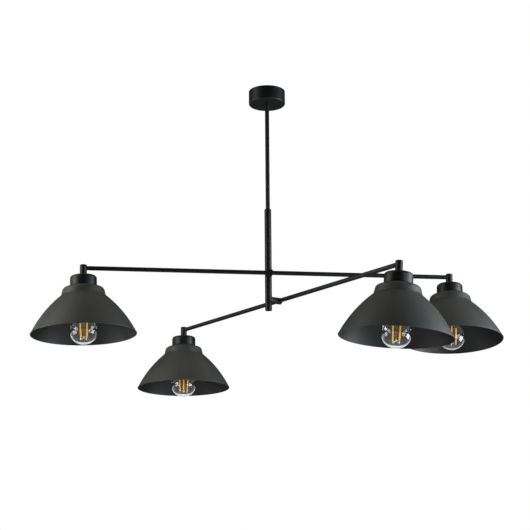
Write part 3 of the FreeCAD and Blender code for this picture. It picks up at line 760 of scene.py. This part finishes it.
def make_bulb_mount():
    """Glass flare, pinch and centre post inside the bulb."""
    outline = rounded([
        (0.0, CAP_RIM + 1.6, 0),
        (9.0, CAP_RIM + 1.8, 0.4),
        (11.6, CAP_RIM + 3.0, 0.3),
        (11.7, CAP_RIM + 1.8, 0.4),
        (7.4, CAP_RIM - 1.5, 3.0),
        (4.2, CAP_RIM - 8.0, 4.0),
        (3.4, CAP_RIM - 15.0, 1.5),
        (1.5, CAP_RIM - 18.5, 1.5),
        (1.25, STICK_FOOT + 9.0, 3.0),
        (1.25, STICK_FOOT + 4.6, 0.5),
        (2.3, STICK_FOOT + 3.2, 1.0),
        (1.9, STICK_FOOT + 1.0, 1.0),
        (0.0, STICK_FOOT + 0.5, 0),
    ])
    return turned(outline, glass, slices=48, sharp=SHARP_GLASS)


def set_as_sticks(mesh, finish, spot):
    """A copy of a mesh on each light stick, at a radius and height, leaning as the sticks do."""
    high, low = STICK_HIGH_END, STICK_LOW_END
    lean = math.degrees(math.atan2(high[0] - low[0], high[1] - low[1]))
    return in_a_circle(mesh, finish, STICK_COUNT, spot[0], spot[1], STICK_START, lean)


def make_sticks():
    """Four light sticks, each a round-ended bar with a faint waist between its chips."""
    high, low = STICK_HIGH_END, STICK_LOW_END
    length = math.dist(high, low)
    end = length / 2 - 1.0
    bar = rounded([(0.0, end, 0), (STICK_RADIUS, end, 0.8), (STICK_RADIUS, -end, 0.8),
                   (0.0, -end, 0)])
    bar = turned(filled(bar, 0.5), amber_painted_glow, slices=20, sharp=SHARP_GLASS,
                 least_radius=STICK_RADIUS - 0.1, thread_depth=0.08, thread_pitch=1.6,
                 thread_top=length / 2 - 2.0, thread_foot=2.0 - length / 2)
    return set_as_sticks(bar, amber_painted_glow, ((high[0] + low[0]) / 2, (high[1] + low[1]) / 2))


def make_clips():
    """Metal caps at both ends of the light sticks."""
    wide = STICK_RADIUS + 0.08
    clip = rounded([(0.0, 1.5, 0), (0.75, 1.5, 0.3), (wide, 0.6, 0.3), (wide, -1.2, 0.2),
                    (0.85, -1.5, 0.2), (0.0, -1.5, 0)])
    tops = set_as_sticks(turned(clip, nickel, slices=16), nickel, STICK_HIGH_END)
    under = [(x, -z) for x, z in clip[::-1]]
    feet = set_as_sticks(turned(under, nickel, slices=16), nickel, STICK_LOW_END)
    return joined(tops, feet)


def make_bulb_wires():
    """Support wires from the post to the sticks, and the two leads up into the cap."""
    high, low = STICK_HIGH_END, STICK_LOW_END
    paths = []
    for k in range(STICK_COUNT):
        a = math.radians(STICK_START + 360 / STICK_COUNT * k)
        x, y = math.cos(a), math.sin(a)
        paths.append([(x * 1.6, y * 1.6, CAP_RIM - 13.0), (x * 2.2, y * 2.2, CAP_RIM - 20.0),
                      (x * (high[0] - 1.5), y * (high[0] - 1.5), STICK_TOP + 3.6),
                      (x * high[0], y * high[0], STICK_TOP + 1.0)])
        paths.append([(x * 0.6, y * 0.6, STICK_FOOT + 2.6), (x * 4.5, y * 4.5, STICK_FOOT - 0.4),
                      (x * (low[0] - 0.6), y * (low[0] - 0.6), STICK_FOOT - 1.6),
                      (x * low[0], y * low[0], STICK_FOOT - 0.6)])
    for s in (1, -1):
        paths.append([(s * 1.2, 0, CAP_RIM - 14.0), (s * 2.6, 0, CAP_RIM - 6.0),
                      (s * 6.0, 0, CAP_RIM + 2.2), (s * 7.0, 0, CAP_TIP - 8.0)])
    return wires(paths, nickel, radius=0.32, bend=1.2)


# Each piece's mesh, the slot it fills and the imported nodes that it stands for.
PIECES = {
    "spun_shade": (make_shade(), "shade_coat", ["shade"]),
    "spun_cup": (make_cup(), "black_coat", ["cup"]),
    "moulded_lampholder": (make_lampholder(), "phenolic", ["lampholder"]),
    "moulded_ring": (make_shade_ring(), "phenolic", ["shade_ring"]),
    "blown_bulb": (make_bulb_glass(), "bulb_glass", ["bulb_glass"]),
    "screw_shell": (make_bulb_shell(), "nickel", ["bulb_cap"]),
    "glass_mount": (make_bulb_mount(), "bulb_glass", ["bulb_filaments"]),
    "light_sticks": (make_sticks(), "filament", ["bulb_filaments"]),
    "stick_clips": (make_clips(), "nickel", ["bulb_filaments"]),
    "bulb_wires": (make_bulb_wires(), "nickel", ["bulb_filaments"]),
}


def head_place(name):
    """The head's frame at rest: its joint's point, with Z along the shade's axis."""
    joint = next(j for j in frame["joints"] if j["name"] == name + "_roll")
    pivot = Vector(joint["pos_m"])
    mesh = frame["nodes"][name + "_shade"].data
    weight = sum(face.area for face in mesh.polygons)
    middle = sum((face.center * face.area for face in mesh.polygons), Vector()) / weight
    up = (pivot - middle).normalized()
    out = Vector(joint["axis"])
    out = (out - up * out.dot(up)).normalized()
    side = up.cross(out)
    return Matrix.Translation(pivot) @ Matrix((out, side, up)).transposed().to_4x4()


for name, screwed in BULB_SCREWED.items():
    place = head_place(name)
    turn = Matrix.Rotation(math.radians(screwed), 4, "Z")
    for kind, (mesh, finish, nodes) in PIECES.items():
        shape = mesh.copy()
        shape.transform(place @ turn if nodes[0].startswith("bulb") else place)
        piece = bpy.data.objects.new(f"{name}_{kind}", shape)
        bpy.context.scene.collection.objects.link(piece)
        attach(piece, name + "_head")
        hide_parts(*[f"{name}_{node}" for node in nodes])


# Floor, light and camera ---------------------------------------------------------------------

FLOOR_HEIGHT = -2.4
FLOOR_RADIUS = 9.0
FLOOR_GLOW = 0.08  # light the floor gives to everything
FLOOR_SEEN = 0.42  # extra brightness where it is seen directly, through glass or mirrored


def lay_floor():
    """A plain pale floor, well below the lamp."""
    mesh = bpy.data.meshes.new("floor")
    work = bmesh.new()
    bmesh.ops.create_circle(work, cap_ends=True, segments=64, radius=FLOOR_RADIUS,
                            matrix=Matrix.Translation((0, 0, FLOOR_HEIGHT)))
    work.to_mesh(mesh)
    work.free()
    made, tree, surface, place = new_finish("pale_floor")
    tree.links.new(blend_colours(tree, noise(tree, place, 0.8), (0.80, 0.80, 0.79),
                                 (0.84, 0.84, 0.83)), surface["Base Color"])
    surface["Roughness"].default_value = 0.8
    surface["Emission Color"].default_value = (1.0, 1.0, 1.0, 1.0)
    path = add(tree, "ShaderNodeLightPath").outputs
    seen = maths(tree, "MAXIMUM", path["Is Camera Ray"], path["Is Singular Ray"])
    tree.links.new(maths(tree, "MULTIPLY_ADD", seen, FLOOR_SEEN, FLOOR_GLOW),
                   surface["Emission Strength"])
    mesh.materials.append(made)
    floor = bpy.data.objects.new("floor", mesh)
    bpy.context.scene.collection.objects.link(floor)


def light_world(seen, cast):
    """A white surround that looks bright and lights the lamp only faintly."""
    world = bpy.data.worlds.new("white_surround")
    world.use_nodes = True
    tree = world.node_tree
    tree.nodes.clear()
    path = add(tree, "ShaderNodeLightPath").outputs
    through = maths(tree, "MAXIMUM", path["Is Camera Ray"], path["Is Transmission Ray"])
    through = maths(tree, "MAXIMUM", through, path["Is Singular Ray"])
    bright = add(tree, "ShaderNodeBackground", {"Color": (1, 1, 1, 1), "Strength": seen})
    soft = add(tree, "ShaderNodeBackground", {"Color": (0.97, 0.985, 1.0, 1), "Strength": cast})
    mixed = add(tree, "ShaderNodeMixShader", {0: through, 1: soft.outputs[0], 2: bright.outputs[0]})
    add(tree, "ShaderNodeOutputWorld", {"Surface": mixed.outputs[0]})
    bpy.context.scene.world = world


def hang_softbox(name, place, target, width, height, power, colour):
    """A soft panel light that faces a point."""
    data = bpy.data.lights.new(name, "AREA")
    data.shape = "RECTANGLE"
    data.size, data.size_y = width, height
    data.energy = power
    data.color = colour
    lamp = bpy.data.objects.new(name, data)
    bpy.context.scene.collection.objects.link(lamp)
    lamp.location = place
    lamp.rotation_euler = (Vector(target) - Vector(place)).to_track_quat("-Z", "Y").to_euler()


ARM_HEIGHT = next(j["pos_m"][2] for j in frame["joints"] if j["name"] == "upper_tilt")

# The camera's place and aim in metres and radians, its height from the upper arm's.
CAMERA_DISTANCE = 2.6981
CAMERA_DROP = -0.6454
CAMERA_BEARING = 0.1419
CAMERA_AIM = 0.1391
CAMERA_PITCH = 0.2437
CAMERA_ROLL = -0.0075
CAMERA_LENS = 81.27


def set_camera():
    """A long lens below the shades, tilted up at the lamp."""
    data = bpy.data.cameras.new("camera")
    data.sensor_width = 36.0
    data.lens = CAMERA_LENS
    data.clip_start, data.clip_end = 0.05, 60.0
    camera = bpy.data.objects.new("camera", data)
    bpy.context.scene.collection.objects.link(camera)
    ahead = Vector((math.sin(CAMERA_AIM) * math.cos(CAMERA_PITCH),
                    math.cos(CAMERA_AIM) * math.cos(CAMERA_PITCH), math.sin(CAMERA_PITCH)))
    level = ahead.cross(Vector((0, 0, 1))).normalized()
    upright = level.cross(ahead)
    right = level * math.cos(CAMERA_ROLL) + upright * math.sin(CAMERA_ROLL)
    up = upright * math.cos(CAMERA_ROLL) - level * math.sin(CAMERA_ROLL)
    turn = Matrix((right, up, -ahead)).transposed().to_4x4()
    spot = Vector((-CAMERA_DISTANCE * math.sin(CAMERA_BEARING),
                   -CAMERA_DISTANCE * math.cos(CAMERA_BEARING), ARM_HEIGHT + CAMERA_DROP))
    camera.matrix_world = Matrix.Translation(spot) @ turn
    bpy.context.scene.camera = camera


LAMP_MIDDLE = (0.0, 0.0, -0.5)
SURROUND_SEEN = 1.0
SURROUND_CAST = 0.01

# Each softbox's place, width, height, power in watts and colour.
SOFTBOXES = {
    "top": ((0.0, 0.3, 1.6), 3.2, 3.2, 9, (1.0, 0.95, 0.84)),
    "top_left": ((-1.6, 0.0, 1.2), 1.2, 1.2, 7, (1.0, 1.0, 1.0)),
    "top_right": ((1.6, 0.0, 1.2), 1.2, 1.2, 2.5, (1.0, 1.0, 1.0)),
    "near_left": ((-1.5, -0.2, -0.5), 0.8, 1.4, 16, (0.98, 0.97, 1.0)),
    "near_left_back": ((-1.3, 1.0, -0.5), 0.8, 1.4, 2, (1.0, 1.0, 1.0)),
    "near_right": ((1.5, -0.4, -0.6), 0.8, 1.4, 36, (0.86, 0.90, 0.97)),
    "near_right_front": ((1.3, -1.5, -0.8), 0.8, 1.4, 15, (0.72, 0.90, 1.0)),
    "left": ((-2.8, 0.0, -0.4), 1.6, 2.2, 4, (1.0, 1.0, 0.9)),
}

lay_floor()
light_world(SURROUND_SEEN, SURROUND_CAST)
for name, (place, width, height, power, colour) in SOFTBOXES.items():
    hang_softbox(name + "_softbox", place, LAMP_MIDDLE, width, height, power, colour)
set_camera()
bpy.context.scene.view_settings.view_transform = "Standard"
